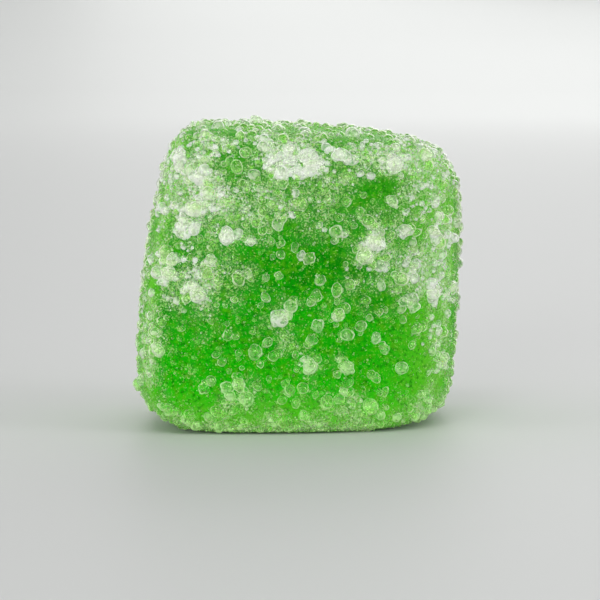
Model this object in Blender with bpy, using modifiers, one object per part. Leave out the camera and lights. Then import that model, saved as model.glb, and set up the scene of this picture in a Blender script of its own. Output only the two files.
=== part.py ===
"""A green sour gummy: one soft, pillow-shaped block of jelly with its largest sugar grains.

Units are metres. +Z is up, the front face looks towards -Y, and the origin is under the
middle of the block on the surface that it rests on. Sizes in the constants are millimetres.
"""

import math
import random

import bmesh
import bpy
from mathutils import Euler, Matrix, Vector
from mathutils.bvhtree import BVHTree

MM = 0.001

# Reach of the two flanks from the middle line at the base and at the top, with their swell
LEFT_BASE = 10.29
LEFT_TOP = 7.82
LEFT_SWELL = 0.78
RIGHT_BASE = 9.68
RIGHT_TOP = 10.4
RIGHT_SWELL = 0.0

# Height of the top at the middle, its fall towards the right, and its crown
TOP_HEIGHT = 18.56
TOP_FALL = 0.69
TOP_CROWN = 0.5

# Half depth of the block, how much it draws in towards the top, and the swell of both faces
HALF_DEPTH = 8.8
DRAW_IN = 0.35
FRONT_SWELL = 0.6
BACK_SWELL = 0.4
SWELL_MIDDLE = -0.3
SWELL_AT_ENDS = 0.4

# How far each upright edge stands back from its face, negative where it comes forward
FRONT_LEFT_BACK = -0.3
FRONT_RIGHT_BACK = 3.6
REAR_LEFT_BACK = 0.5
REAR_RIGHT_BACK = 0.2

# How far each edge of the cage is drawn in on the slant, which rounds it off
POST_DRAW = {(-1, -1): 0.8, (1, -1): 0.6, (-1, 1): 1.0, (1, 1): 0.8}
END_DRAW = {(-1, 1): 0.19, (1, 1): 0.94, (-1, -1): 1.35, (1, -1): 1.03}
FACE_DRAW = {1: 0.2, -1: 0.1}

# Cage loops beside the edges, as a share of the half size, and the levels of smoothing
SIDE_LOOP = 0.7
TOP_LOOP = 0.7
BASE_LOOP = 0.8
EVEN_LOOP = 0.5
CAGE_CUTS = 3
CAGE_SLACK = 0.01
SMOOTH_LEVELS = 2

# Slight waviness of the soft block, in height and in turns along two ways on each side
WAVE = 0.1
FLANK_WAVES = (0.55, 0.35)
FACE_WAVES = (0.6, -0.4)
TOP_WAVES = (0.5, 0.45)

# Jelly pressed flat under its own weight: depth, and the places of the four sides, where the
# front and rear sides have one place at their left end and one at their right
FOOT_DEPTH = 0.12
FOOT_LEFT = -5.15
FOOT_RIGHT = 4.57
FOOT_FRONT = (-7.48, -6.8)
FOOT_REAR = (7.28, 7.24)

# As shares of the foot's half size, the slack at its sides and how far they draw in; then the
# least rise of the jelly just outside it, and the height below which all this applies
FOOT_SLACK = 0.04
FOOT_DRAW = 0.01
FOOT_RISE = 0.03
FOOT_ZONE = 1.0

# Largest grains on the front face: place across, place up and size
FRONT_GRAINS = (
    (3.4, 18.4, 0.97),
    (-7.3, 17.2, 0.84),
    (-5.9, 15.9, 0.9),
    (-5.3, 15.0, 0.9),
    (-6.1, 14.1, 0.97),
    (-4.2, 12.3, 1.1),
    (2.5, 12.6, 0.9),
    (4.8, 11.9, 1.1),
    (4.2, 11.1, 0.97),
    (6.5, 9.6, 0.97),
    (8.5, 8.6, 1.03),
    (-6.0, 8.7, 1.03),
    (-1.0, 7.3, 1.16),
    (-0.3, 8.0, 0.84),
    (1.4, 6.8, 0.87),
    (2.7, 7.5, 0.84),
    (3.2, 6.2, 0.84),
    (0.9, 4.3, 0.97),
    (3.1, 4.2, 0.9),
    (6.5, 4.0, 0.9),
    (-4.2, 3.0, 0.84),
    (-3.0, 2.3, 0.97),
    (4.6, 1.7, 0.97),
    (-4.9, 18.9, 0.84),
    (-9.8, 2.9, 0.9),
    (10.2, 11.4, 0.75),
)

# Scattered large grains: how many in all, their sizes, and the clearance between them
GRAIN_COUNT = 226
GRAIN_SEED = 41
GRAIN_SMALL = 0.72
GRAIN_LARGE = 1.08
GRAIN_SIZE_FALL = 0.6
ROUND_GRAIN_FROM = 1.02
GRAIN_UNEVEN = 0.1
GRAIN_SPACING = 1.25
BASE_CLEARANCE = 0.12
LEAST_UP_NORMAL = -0.6

# How much a grain of few faces is enlarged to look as big as the round grain that it stands for
FACET_FULLNESS = {1: 1.12, 2: 1.03}

# How far a grain's middle stands out of the jelly, as a share of its radius
FRONT_SEAT = 0.12
GRAIN_SEAT = -0.2

# Grains that clump in pairs: how often, how close, and the shares of that reach allowed
PAIR_CHANCE = 0.16
PAIR_SPACING = 0.78
PAIR_NEAREST = 0.7
PAIR_FARTHEST = 1.1
LEAST_STEP = 0.1

JELLY_COLOUR = (0.05, 0.42, 0.01, 1.0)
JELLY_ROUGHNESS = 0.55
SHARP_ANGLE = 40.0


def clear_scene() -> None:
    """Remove every object from the scene."""
    for item in list(bpy.data.objects):
        bpy.data.objects.remove(item, do_unlink=True)


def new_collection(name: str) -> bpy.types.Collection:
    """Make a collection in the scene and return it."""
    collection = bpy.data.collections.new(name)
    bpy.context.scene.collection.children.link(collection)
    return collection


def cage_loop(place: float, loop: float) -> float:
    """Move a cage coordinate so that its middle loop stands at the given share."""
    reach = abs(place)
    if reach <= EVEN_LOOP:
        moved = reach / EVEN_LOOP * loop
    else:
        moved = loop + (reach - EVEN_LOOP) / (1.0 - EVEN_LOOP) * (1.0 - loop)
    return math.copysign(moved, place)


def blend(low: float, high: float, share: float) -> float:
    """Return the value at a share of the way from low to high."""
    return low + (high - low) * share


def sign(value: float) -> int:
    """Return -1, 0 or 1."""
    return (value > 0) - (value < 0)


def cage_point(corner: Vector) -> Vector:
    """Place one corner of the unit cage on the gummy's own uneven form, in millimetres."""
    across = cage_loop(corner.x, SIDE_LOOP)
    deep = cage_loop(corner.y, SIDE_LOOP)
    rise = cage_loop(corner.z, TOP_LOOP if corner.z > 0 else BASE_LOOP)
    share = (rise + 1.0) / 2.0
    hump = 4.0 * share * (1.0 - share)

    left = -blend(LEFT_BASE, LEFT_TOP, share) - LEFT_SWELL * hump
    right = blend(RIGHT_BASE, RIGHT_TOP, share) + RIGHT_SWELL * hump
    x = blend(left, right, (across + 1.0) / 2.0)

    off_middle = (across - SWELL_MIDDLE) / (1.0 + abs(SWELL_MIDDLE))
    swell = max(0.0, 1.0 - off_middle ** 2) * blend(SWELL_AT_ENDS, 1.0, hump)
    left_share = max(-across, 0.0) ** 2
    right_share = max(across, 0.0) ** 2
    if deep < 0:
        face = FRONT_SWELL * swell - FRONT_LEFT_BACK * left_share - FRONT_RIGHT_BACK * right_share
    else:
        face = BACK_SWELL * swell - REAR_LEFT_BACK * left_share - REAR_RIGHT_BACK * right_share
    y = deep * (HALF_DEPTH - DRAW_IN * share + face)

    crown = TOP_CROWN * (1.0 - across ** 2) * (1.0 - deep ** 2)
    z = (TOP_HEIGHT - TOP_FALL * across + crown) * share

    sides = tuple(sign(value) if abs(value) > 1.0 - CAGE_SLACK else 0 for value in corner)
    if sides[0] and sides[1]:
        x -= sides[0] * POST_DRAW[sides[0], sides[1]]
        y -= sides[1] * POST_DRAW[sides[0], sides[1]]
    if sides[0] and sides[2]:
        x -= sides[0] * END_DRAW[sides[0], sides[2]]
        z -= sides[2] * END_DRAW[sides[0], sides[2]]
    if sides[1] and sides[2]:
        y -= sides[1] * FACE_DRAW[sides[2]]
        z -= sides[2] * FACE_DRAW[sides[2]]

    x += WAVE * math.sin(FLANK_WAVES[0] * y + FLANK_WAVES[1] * z) * abs(across)
    y += WAVE * math.sin(FACE_WAVES[0] * x + FACE_WAVES[1] * z) * abs(deep)
    if corner.z > 0:
        z += WAVE * math.sin(TOP_WAVES[0] * x + TOP_WAVES[1] * y)
    return Vector((x, y, z))


def press_foot(place: Vector) -> Vector:
    """Lower a point by the foot's depth, and press it flat inside the foot's four sides.

    Args:
        place: Point of the soft block in millimetres.

    Returns:
        Its place once the block rests on the plane z = 0.
    """
    lowered = Vector((place.x, place.y, place.z - FOOT_DEPTH))
    if place.z > FOOT_ZONE:
        return lowered
    side = (place.x - FOOT_LEFT) / (FOOT_RIGHT - FOOT_LEFT)
    front = blend(*FOOT_FRONT, side)
    across = 2.0 * side - 1.0
    deep = 2.0 * (place.y - front) / (blend(*FOOT_REAR, side) - front) - 1.0
    if max(abs(across), abs(deep)) > 1.0 + FOOT_SLACK:
        lowered.z = max(lowered.z, FOOT_RISE)
        return lowered
    across, deep = (
        math.copysign(1.0, value) if abs(value) > 1.0 - FOOT_SLACK else value
        for value in (across, deep)
    )
    drawn_across = across * (1.0 - FOOT_DRAW * (1.0 - deep ** 2))
    drawn_deep = deep * (1.0 - FOOT_DRAW * (1.0 - across ** 2))
    side = (drawn_across + 1.0) / 2.0
    y = blend(blend(*FOOT_FRONT, side), blend(*FOOT_REAR, side), (drawn_deep + 1.0) / 2.0)
    return Vector((blend(FOOT_LEFT, FOOT_RIGHT, side), y, 0.0))


def build_block(collection: bpy.types.Collection) -> bpy.types.Object:
    """Make the jelly block: a shaped cage, smoothed, and pressed flat where it rests."""
    form = bmesh.new()
    bmesh.ops.create_cube(form, size=2.0)
    bmesh.ops.subdivide_edges(form, edges=form.edges[:], cuts=CAGE_CUTS, use_grid_fill=True)
    for corner in form.verts:
        corner.co = cage_point(corner.co) * MM
    cage_mesh = bpy.data.meshes.new("gummy_cage")
    form.to_mesh(cage_mesh)
    form.free()

    cage = bpy.data.objects.new("gummy_cage", cage_mesh)
    collection.objects.link(cage)
    smooth = cage.modifiers.new("soft_form", "SUBSURF")
    smooth.levels = SMOOTH_LEVELS
    smooth.render_levels = SMOOTH_LEVELS

    evaluated = cage.evaluated_get(bpy.context.evaluated_depsgraph_get())
    mesh = bpy.data.meshes.new_from_object(evaluated)
    bpy.data.objects.remove(cage, do_unlink=True)
    for point in mesh.vertices:
        point.co = press_foot(point.co / MM) * MM
    mesh.name = "gummy"
    block = bpy.data.objects.new("gummy", mesh)
    collection.objects.link(block)
    return block


class GrainField:
    """Chooses where the largest sugar grains sit on the block."""

    def __init__(self, mesh: bpy.types.Mesh) -> None:
        """Read the block's triangles and prepare the seeded draw."""
        form = bmesh.new()
        form.from_mesh(mesh)
        bmesh.ops.triangulate(form, faces=form.faces[:])
        self.tree = BVHTree.FromBMesh(form)
        self.triangles = [[corner.co.copy() for corner in face.verts] for face in form.faces]
        self.normals = [face.normal.copy() for face in form.faces]
        self.areas = [face.calc_area() for face in form.faces]
        form.free()
        self.draw = random.Random(GRAIN_SEED)
        self.grains: list[tuple[Vector, float]] = []

    def seat(self, point: Vector, normal: Vector, size: float, share: float) -> Vector:
        """Return a grain's middle, out of the jelly by a share of its radius."""
        return point + normal * (share * size / 2.0)

    def clear_of_base(self, middle: Vector, size: float) -> bool:
        """Tell whether a grain stays above the surface that the block rests on."""
        return middle.z - size / 2.0 * (1.0 + GRAIN_UNEVEN) > BASE_CLEARANCE * MM

    def far_enough(self, middle: Vector, size: float, spacing: float, partner: int = -1) -> bool:
        """Tell whether a grain keeps its clearance to all others but its partner."""
        for index, (other, other_size) in enumerate(self.grains):
            if index == partner:
                continue
            if (other - middle).length < spacing * (size + other_size) / 2.0:
                return False
        return True

    def add_front_grains(self) -> None:
        """Seat the named grains of the front face, straight in from the front."""
        for across, up, size in FRONT_GRAINS:
            start = Vector((across * MM, -2.0 * HALF_DEPTH * MM, up * MM))
            point, normal, _, _ = self.tree.ray_cast(start, Vector((0.0, 1.0, 0.0)))
            if point is None:
                point, normal, _, _ = self.tree.find_nearest(Vector((across * MM, 0.0, up * MM)))
            middle = self.seat(point, normal, size * MM, FRONT_SEAT)
            self.grains.append((middle, size * MM))

    def random_spot(self) -> tuple[Vector, Vector]:
        """Draw an even random place on the block, with its normal."""
        index = self.draw.choices(range(len(self.triangles)), weights=self.areas)[0]
        first, second, third = self.triangles[index]
        along = math.sqrt(self.draw.random())
        turn = self.draw.random()
        point = first * (1.0 - along) + second * (along * (1.0 - turn)) + third * (along * turn)
        return point, self.normals[index]

    def add_partner(self, index: int) -> None:
        """Let a second grain lean against the one given, as grains clump in pairs."""
        middle, size = self.grains[index]
        partner_size = GRAIN_SMALL * MM
        step = Vector([self.draw.uniform(-1.0, 1.0) for _ in range(3)])
        if step.length < LEAST_STEP:
            return
        reach = PAIR_SPACING * (size + partner_size) / 2.0
        near = self.tree.find_nearest(middle + step.normalized() * reach)
        seat = self.seat(near[0], near[1], partner_size, GRAIN_SEAT)
        gap = (seat - middle).length
        if not PAIR_NEAREST * reach < gap < PAIR_FARTHEST * reach:
            return
        if self.clear_of_base(seat, partner_size) and self.far_enough(
            seat, partner_size, GRAIN_SPACING, partner=index
        ):
            self.grains.append((seat, partner_size))

    def scatter(self) -> None:
        """Add seeded grains, the largest first, until the wanted number is reached."""
        self.add_front_grains()
        while len(self.grains) < GRAIN_COUNT:
            done = len(self.grains) / GRAIN_COUNT
            size = blend(GRAIN_LARGE, GRAIN_SMALL, done ** GRAIN_SIZE_FALL) * MM
            point, normal = self.random_spot()
            middle = self.seat(point, normal, size, GRAIN_SEAT)
            if normal.z < LEAST_UP_NORMAL or not self.clear_of_base(middle, size):
                continue
            if not self.far_enough(middle, size, GRAIN_SPACING):
                continue
            self.grains.append((middle, size))
            if self.draw.random() < PAIR_CHANCE:
                self.add_partner(len(self.grains) - 1)


def add_grain(
    collection: bpy.types.Collection,
    middle: Vector,
    size: float,
    draw: random.Random,
) -> None:
    """Make one grain: a small ball, a little uneven, turned at random."""
    form = bmesh.new()
    detail = 2 if size >= ROUND_GRAIN_FROM * MM else 1
    radius = size / 2.0 * FACET_FULLNESS[detail]
    bmesh.ops.create_icosphere(form, subdivisions=detail, radius=radius)
    stretch = [draw.uniform(1.0 - GRAIN_UNEVEN, 1.0 + GRAIN_UNEVEN) for _ in range(3)]
    turn = Euler([draw.uniform(0.0, math.tau) for _ in range(3)]).to_matrix().to_4x4()
    place = Matrix.Translation(middle) @ turn @ Matrix.Diagonal((*stretch, 1.0))
    bmesh.ops.transform(form, matrix=place, verts=form.verts[:])
    mesh = bpy.data.meshes.new("grain")
    form.to_mesh(mesh)
    form.free()
    collection.objects.link(bpy.data.objects.new("grain", mesh))


def fuse(block: bpy.types.Object, grains: bpy.types.Collection) -> None:
    """Join all grains to the block in one union, apply it and remove the loose grains."""
    union = block.modifiers.new("fused_grains", "BOOLEAN")
    union.operation = "UNION"
    union.operand_type = "COLLECTION"
    union.collection = grains
    union.solver = "MANIFOLD"
    evaluated = block.evaluated_get(bpy.context.evaluated_depsgraph_get())
    mesh = bpy.data.meshes.new_from_object(evaluated)
    block.modifiers.clear()
    old_mesh = block.data
    block.data = mesh
    bpy.data.meshes.remove(old_mesh)
    mesh.name = "gummy"
    for grain in list(grains.objects):
        bpy.data.objects.remove(grain, do_unlink=True)
    bpy.data.collections.remove(grains)


def jelly_material() -> bpy.types.Material:
    """Return the jelly's material: clear green with a dull, sugared surface."""
    material = bpy.data.materials.new("green_jelly")
    material.use_nodes = True
    shader = material.node_tree.nodes["Principled BSDF"]
    shader.inputs["Base Color"].default_value = JELLY_COLOUR
    shader.inputs["Roughness"].default_value = JELLY_ROUGHNESS
    shader.inputs["Metallic"].default_value = 0.0
    return material


def main() -> None:
    """Build the gummy."""
    clear_scene()
    parts = new_collection("sour_gummy")
    grains = new_collection("sugar_grains")
    block = build_block(parts)
    field = GrainField(block.data)
    field.scatter()
    for middle, size in field.grains:
        add_grain(grains, middle, size, field.draw)
    fuse(block, grains)
    block.data.materials.clear()
    block.data.materials.append(jelly_material())
    block.data.shade_smooth()
    block.data.set_sharp_from_angle(angle=math.radians(SHARP_ANGLE))


main()
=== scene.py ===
"""Looks of a green sour gummy: soft jelly under a coat of sugar, in the frame of its solid.

Sizes are millimetres in the constants and fields, and metres in the meshes. The front face
looks towards -Y, +Z is up, and the block rests on the plane z = 0.
"""

import logging
import math
import random
from dataclasses import dataclass, field
from enum import Enum

import bmesh
import bpy
import numpy as np
from mathutils import Euler, Matrix, Vector, noise
from mathutils.bvhtree import BVHTree


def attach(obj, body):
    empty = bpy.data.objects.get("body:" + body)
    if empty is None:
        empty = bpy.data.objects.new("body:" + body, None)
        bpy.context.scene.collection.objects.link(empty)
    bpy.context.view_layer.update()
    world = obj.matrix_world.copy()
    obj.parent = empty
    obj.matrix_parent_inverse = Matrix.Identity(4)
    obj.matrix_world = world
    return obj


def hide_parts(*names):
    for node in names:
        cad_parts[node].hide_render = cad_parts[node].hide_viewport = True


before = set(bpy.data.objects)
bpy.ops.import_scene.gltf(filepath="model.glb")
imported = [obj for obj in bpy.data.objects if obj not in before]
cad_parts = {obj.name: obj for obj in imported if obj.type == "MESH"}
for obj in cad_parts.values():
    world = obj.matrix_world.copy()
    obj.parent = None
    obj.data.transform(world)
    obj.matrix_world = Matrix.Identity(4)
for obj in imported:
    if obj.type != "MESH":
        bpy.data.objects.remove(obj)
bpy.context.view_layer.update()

MM = 0.001
BODY = "root"
NODE = "gummy"
Colour = tuple[float, float, float, float]
log = logging.getLogger("sour_gummy")


class Facing(Enum):
    """How the faces of a grain meet: as soft beads or as cut crystals."""

    SOFT = "soft"
    CUT = "cut"


class Blank(Enum):
    """The shape that a grain starts from."""

    DIAMOND = "crystal of 8 faces"
    BALL_20 = "ball of 20 faces"
    BALL_80 = "ball of 80 faces"
    BALL_320 = "ball of 320 faces"


def blend(low: float, high: float, share: float) -> float:
    """Return the value at a share of the way from low to high."""
    return low + (high - low) * share


def sign(value: float) -> int:
    """Return -1, 0 or 1."""
    return (value > 0) - (value < 0)


def smooth_step(low: float, high: float, values: np.ndarray) -> np.ndarray:
    """Ease from 0 at low to 1 at high.

    Args:
        low: Value where the step starts.
        high: Value where the step is done.
        values: The values to ease.

    Returns:
        The eased values, from 0 to 1.
    """
    share = np.clip((values - low) / (high - low), 0.0, 1.0)
    return share * share * (3.0 - 2.0 * share)


def front_spot(tree: BVHTree, across: float, up: float, reach: float) -> tuple[Vector, Vector]:
    """Find the block's surface straight in from the front, or the nearest to there.

    Args:
        tree: The block's surface.
        across: Place across in millimetres.
        up: Place up in millimetres.
        reach: How far in front the search starts, in millimetres.

    Returns:
        Point on the surface in metres, and its normal.
    """
    point, normal, _, _ = tree.ray_cast(
        Vector((across * MM, -reach * MM, up * MM)), Vector((0.0, 1.0, 0.0))
    )
    if point is None:
        point, normal, _, _ = tree.find_nearest(Vector((across * MM, 0.0, up * MM)))
    return point, normal


def way_out(azimuth: float, elevation: float) -> Vector:
    """Return the unit direction in which a light or the camera stands.

    Args:
        azimuth: Turn to the right of the front, in degrees.
        elevation: Height above the level, in degrees.

    Returns:
        The direction, away from the block.
    """
    turn, lift = math.radians(azimuth), math.radians(elevation)
    return Vector((
        math.sin(turn) * math.cos(lift), -math.cos(turn) * math.cos(lift), math.sin(lift),
    ))


@dataclass
class BlockForm:
    """The soft block: reach of its flanks, height, depth, swell and drawn-in edges."""

    left_base: float = 10.29
    left_top: float = 7.82
    left_swell: float = 0.78
    right_base: float = 9.68
    right_top: float = 10.4
    right_swell: float = 0.0
    top_height: float = 18.56
    top_fall: float = 0.69
    top_crown: float = 0.5
    half_depth: float = 8.8
    draw_in: float = 0.35
    front_swell: float = 0.6
    back_swell: float = 0.4
    swell_middle: float = -0.3
    swell_at_ends: float = 0.4
    front_left_back: float = -0.3
    front_right_back: float = 3.6
    rear_left_back: float = 0.5
    rear_right_back: float = 0.2
    post_draw: dict = field(
        default_factory=lambda: {(-1, -1): 0.8, (1, -1): 0.6, (-1, 1): 1.0, (1, 1): 0.8}
    )
    end_draw: dict = field(
        default_factory=lambda: {(-1, 1): 0.19, (1, 1): 0.94, (-1, -1): 1.35, (1, -1): 1.03}
    )
    face_draw: dict = field(default_factory=lambda: {1: 0.2, -1: 0.1})
    side_loop: float = 0.7
    top_loop: float = 0.7
    base_loop: float = 0.8
    even_loop: float = 0.5
    cage_cuts: int = 3
    cage_slack: float = 0.01
    solid_levels: int = 2
    jelly_levels: int = 4
    wave: float = 0.1
    flank_waves: tuple = (0.55, 0.35)
    face_waves: tuple = (0.6, -0.4)
    top_waves: tuple = (0.5, 0.45)
    foot_depth: float = 0.12
    foot_left: float = -5.15
    foot_right: float = 4.57
    foot_front: tuple = (-7.48, -6.8)
    foot_rear: tuple = (7.28, 7.24)
    foot_slack: float = 0.04
    foot_draw: float = 0.01
    foot_rise: float = 0.03
    foot_zone: float = 1.0

    def cage_loop(self, place: float, loop: float) -> float:
        """Move a cage coordinate so that its middle loop stands at the given share.

        Args:
            place: The coordinate, from -1 to 1.
            loop: Where the middle loop is to stand, as a share of the reach.

        Returns:
            The moved coordinate.
        """
        reach = abs(place)
        if reach <= self.even_loop:
            moved = reach / self.even_loop * loop
        else:
            moved = loop + (reach - self.even_loop) / (1.0 - self.even_loop) * (1.0 - loop)
        return math.copysign(moved, place)

    def cage_point(self, corner: Vector) -> Vector:
        """Place one corner of the unit cage on the block's own uneven form.

        Args:
            corner: Corner of a cube that reaches from -1 to 1.

        Returns:
            Its place in millimetres.
        """
        across = self.cage_loop(corner.x, self.side_loop)
        deep = self.cage_loop(corner.y, self.side_loop)
        rise = self.cage_loop(corner.z, self.top_loop if corner.z > 0 else self.base_loop)
        share = (rise + 1.0) / 2.0
        hump = 4.0 * share * (1.0 - share)

        left = -blend(self.left_base, self.left_top, share) - self.left_swell * hump
        right = blend(self.right_base, self.right_top, share) + self.right_swell * hump
        x = blend(left, right, (across + 1.0) / 2.0)

        off_middle = (across - self.swell_middle) / (1.0 + abs(self.swell_middle))
        swell = max(0.0, 1.0 - off_middle ** 2) * blend(self.swell_at_ends, 1.0, hump)
        left_share = max(-across, 0.0) ** 2
        right_share = max(across, 0.0) ** 2
        if deep < 0:
            face = self.front_swell * swell
            face -= self.front_left_back * left_share + self.front_right_back * right_share
        else:
            face = self.back_swell * swell
            face -= self.rear_left_back * left_share + self.rear_right_back * right_share
        y = deep * (self.half_depth - self.draw_in * share + face)

        crown = self.top_crown * (1.0 - across ** 2) * (1.0 - deep ** 2)
        z = (self.top_height - self.top_fall * across + crown) * share

        outer = 1.0 - self.cage_slack
        sides = tuple(sign(value) if abs(value) > outer else 0 for value in corner)
        if sides[0] and sides[1]:
            x -= sides[0] * self.post_draw[sides[0], sides[1]]
            y -= sides[1] * self.post_draw[sides[0], sides[1]]
        if sides[0] and sides[2]:
            x -= sides[0] * self.end_draw[sides[0], sides[2]]
            z -= sides[2] * self.end_draw[sides[0], sides[2]]
        if sides[1] and sides[2]:
            y -= sides[1] * self.face_draw[sides[2]]
            z -= sides[2] * self.face_draw[sides[2]]

        x += self.wave * math.sin(self.flank_waves[0] * y + self.flank_waves[1] * z) * abs(across)
        y += self.wave * math.sin(self.face_waves[0] * x + self.face_waves[1] * z) * abs(deep)
        if corner.z > 0:
            z += self.wave * math.sin(self.top_waves[0] * x + self.top_waves[1] * y)
        return Vector((x, y, z))

    def press_foot(self, place: Vector, slack: float) -> Vector:
        """Lower a point by the foot's depth, and press it flat inside the foot's four sides.

        Args:
            place: Point of the soft block in millimetres.
            slack: How near a side a point joins it, as a share of the foot's half size.

        Returns:
            Its place once the block rests on the plane z = 0.
        """
        lowered = Vector((place.x, place.y, place.z - self.foot_depth))
        if place.z > self.foot_zone:
            return lowered
        side = (place.x - self.foot_left) / (self.foot_right - self.foot_left)
        front = blend(*self.foot_front, side)
        across = 2.0 * side - 1.0
        deep = 2.0 * (place.y - front) / (blend(*self.foot_rear, side) - front) - 1.0
        if max(abs(across), abs(deep)) > 1.0 + slack:
            lowered.z = max(lowered.z, self.foot_rise)
            return lowered
        across, deep = (
            math.copysign(1.0, value) if abs(value) > 1.0 - slack else value
            for value in (across, deep)
        )
        drawn_across = across * (1.0 - self.foot_draw * (1.0 - deep ** 2))
        drawn_deep = deep * (1.0 - self.foot_draw * (1.0 - across ** 2))
        side = (drawn_across + 1.0) / 2.0
        front, rear = blend(*self.foot_front, side), blend(*self.foot_rear, side)
        x = blend(self.foot_left, self.foot_right, side)
        return Vector((x, blend(front, rear, (drawn_deep + 1.0) / 2.0), 0.0))

    def mesh(self, name: str, levels: int) -> bpy.types.Mesh:
        """Make the block's mesh: the shaped cage, smoothed, and pressed flat at its foot.

        Args:
            name: Name of the mesh.
            levels: Levels of smoothing.

        Returns:
            The mesh, in metres.
        """
        form = bmesh.new()
        bmesh.ops.create_cube(form, size=2.0)
        bmesh.ops.subdivide_edges(
            form, edges=form.edges[:], cuts=self.cage_cuts, use_grid_fill=True
        )
        for corner in form.verts:
            corner.co = self.cage_point(corner.co) * MM
        cage_mesh = bpy.data.meshes.new(name + "_cage")
        form.to_mesh(cage_mesh)
        form.free()
        cage = bpy.data.objects.new(name + "_cage", cage_mesh)
        bpy.context.scene.collection.objects.link(cage)
        soft = cage.modifiers.new("soft_form", "SUBSURF")
        soft.levels = levels
        soft.render_levels = levels
        evaluated = cage.evaluated_get(bpy.context.evaluated_depsgraph_get())
        mesh = bpy.data.meshes.new_from_object(evaluated)
        bpy.data.objects.remove(cage, do_unlink=True)
        slack = self.foot_slack / 2 ** (levels - self.solid_levels)
        for point in mesh.vertices:
            point.co = self.press_foot(point.co / MM, slack) * MM
        mesh.name = name
        return mesh


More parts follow.
